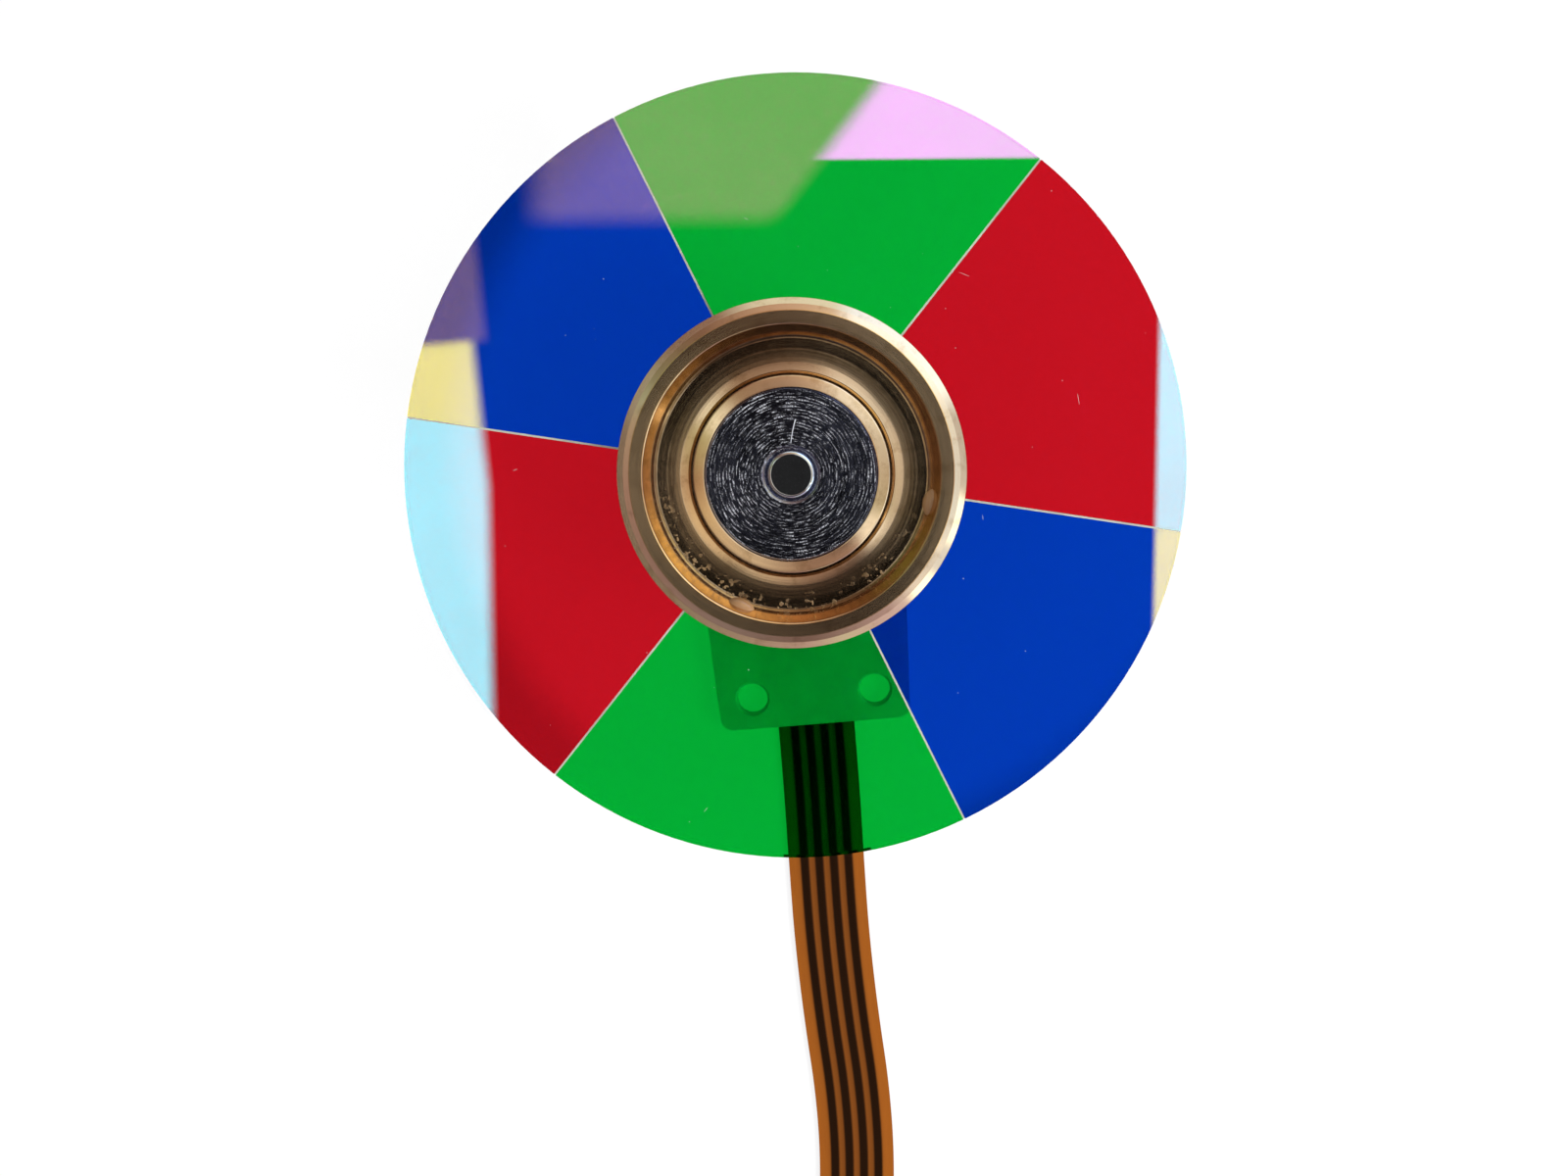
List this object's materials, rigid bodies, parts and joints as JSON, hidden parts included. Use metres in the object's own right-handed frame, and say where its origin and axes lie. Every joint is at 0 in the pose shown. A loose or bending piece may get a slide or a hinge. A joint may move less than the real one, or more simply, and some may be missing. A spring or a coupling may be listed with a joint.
{
  "type": "projector color wheel",
  "caption": "Spinning ring of red, green and blue glass filters on a small flat motor, with a turned balance ring and a flat flexible cable.",
  "frame": {"origin": "on the spin axis, in the plane of the base plate's mounting face", "axes": "+Z along the spin axis from the base plate to the glass, -Y towards the tab and the cable"},
  "size_m": [0.05, 0.1172, 0.01],
  "materials": {
    "green_glass": "dichroic coated glass that passes green",
    "blue_glass": "dichroic coated glass that passes blue",
    "red_glass": "dichroic coated glass that passes red",
    "joint_glue": "pale cured glue",
    "clear_glue": "clear adhesive film",
    "balance_glue": "translucent beige cured drops",
    "turned_brass": "turned, with fine concentric tool marks",
    "hub_steel": "turned face with concentric marks",
    "polished_steel": "ground and polished",
    "plated_steel": "drawn, nickel plated",
    "plate_metal": "stamped, satin",
    "housing_metal": "turned",
    "core_steel": "stacked laminations",
    "magnet": "bonded ferrite, dark",
    "bobbin_plastic": "moulded, black",
    "copper": "enamelled copper wire",
    "solder": "bright solder",
    "cage_brass": "pressed",
    "polyimide": "amber polyimide film over dark copper tracks",
    "stiffener": "stiff amber film",
    "gold": "gold plated contacts",
    "black_mark": "matt black"
  },
  "bodies": {
    "base": {"base_plate": "plate_metal", "bearing_housing": "housing_metal", "housing_cap": "plated_steel", "preload_washer": "polished_steel", "lower_bearing_outer_race": "polished_steel", "lower_bearing_shields": "plated_steel", "upper_bearing_outer_race": "polished_steel", "upper_bearing_shields": "plated_steel", "stator_core": "core_steel", "stator_bobbins": "bobbin_plastic", "stator_windings": "copper", "coil_leads": "copper", "solder_joints": "solder", "flex_cable_bonded": "polyimide", "flex_cable": "polyimide", "contact_stiffener": "stiffener", "contact_fingers": "gold"},
    "rotor": {"shaft": "polished_steel", "shaft_clip": "polished_steel", "rotor_yoke": "plated_steel", "magnet_ring": "magnet", "timing_mark": "black_mark", "rotor_hub": "hub_steel", "lower_bearing_inner_race": "polished_steel", "upper_bearing_inner_race": "polished_steel", "green_filter_upper": "green_glass", "blue_filter_upper": "blue_glass", "red_filter_upper": "red_glass", "green_filter_lower": "green_glass", "blue_filter_lower": "blue_glass", "red_filter_lower": "red_glass", "filter_joint_glue": "joint_glue", "filter_adhesive": "clear_glue", "ring_adhesive": "clear_glue", "balance_ring": "turned_brass", "balance_glue_drops": "balance_glue"},
    "upper_cage": {"upper_bearing_balls": "polished_steel", "upper_bearing_cage": "cage_brass"},
    "lower_cage": {"lower_bearing_balls": "polished_steel", "lower_bearing_cage": "cage_brass"}
  },
  "joints": [
    {"name": "wheel_spin", "type": "hinge", "parent": "base", "child": "rotor", "pos_m": [0, 0, 0.00725], "axis": [0, 0, 1], "continuous": true},
    {"name": "upper_cage_orbit", "type": "hinge", "parent": "base", "child": "upper_cage", "pos_m": [0, 0, 0.00595], "axis": [0, 0, 1], "continuous": true},
    {"name": "lower_cage_orbit", "type": "hinge", "parent": "base", "child": "lower_cage", "pos_m": [0, 0, 0.0016], "axis": [0, 0, 1], "continuous": true}
  ],
  "couplings": [
    {"joint": "upper_cage_orbit", "follows": "wheel_spin", "ratio": 0.41111},
    {"joint": "lower_cage_orbit", "follows": "wheel_spin", "ratio": 0.41111}
  ]
}
